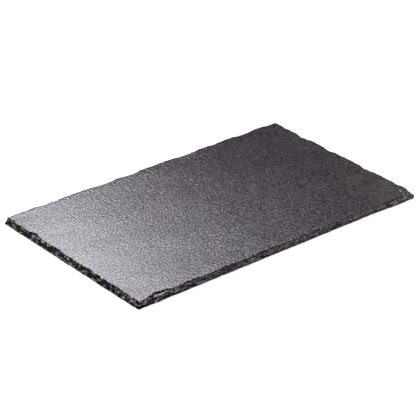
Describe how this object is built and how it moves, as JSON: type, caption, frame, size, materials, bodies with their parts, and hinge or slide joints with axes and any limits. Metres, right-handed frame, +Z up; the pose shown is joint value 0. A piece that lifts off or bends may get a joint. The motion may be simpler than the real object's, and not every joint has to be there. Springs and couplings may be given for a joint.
{
  "type": "slate board",
  "caption": "Flat rectangular slab of dark natural slate with a plain riven face and chipped, dressed edges, lying on its flat underside.",
  "frame": {"origin": "middle of the flat underside, at the centre of the slab's outline", "axes": "+X along the long side, +Y along the short side, +Z up out of the riven face"},
  "size_m": [0.2654, 0.1642, 0.0054],
  "materials": {
    "slate": "natural riven slate, matt with a soft sheen, fine grain, darker broken edges"
  },
  "bodies": {
    "root": {"slate_board": "slate"}
  },
  "joints": []
}
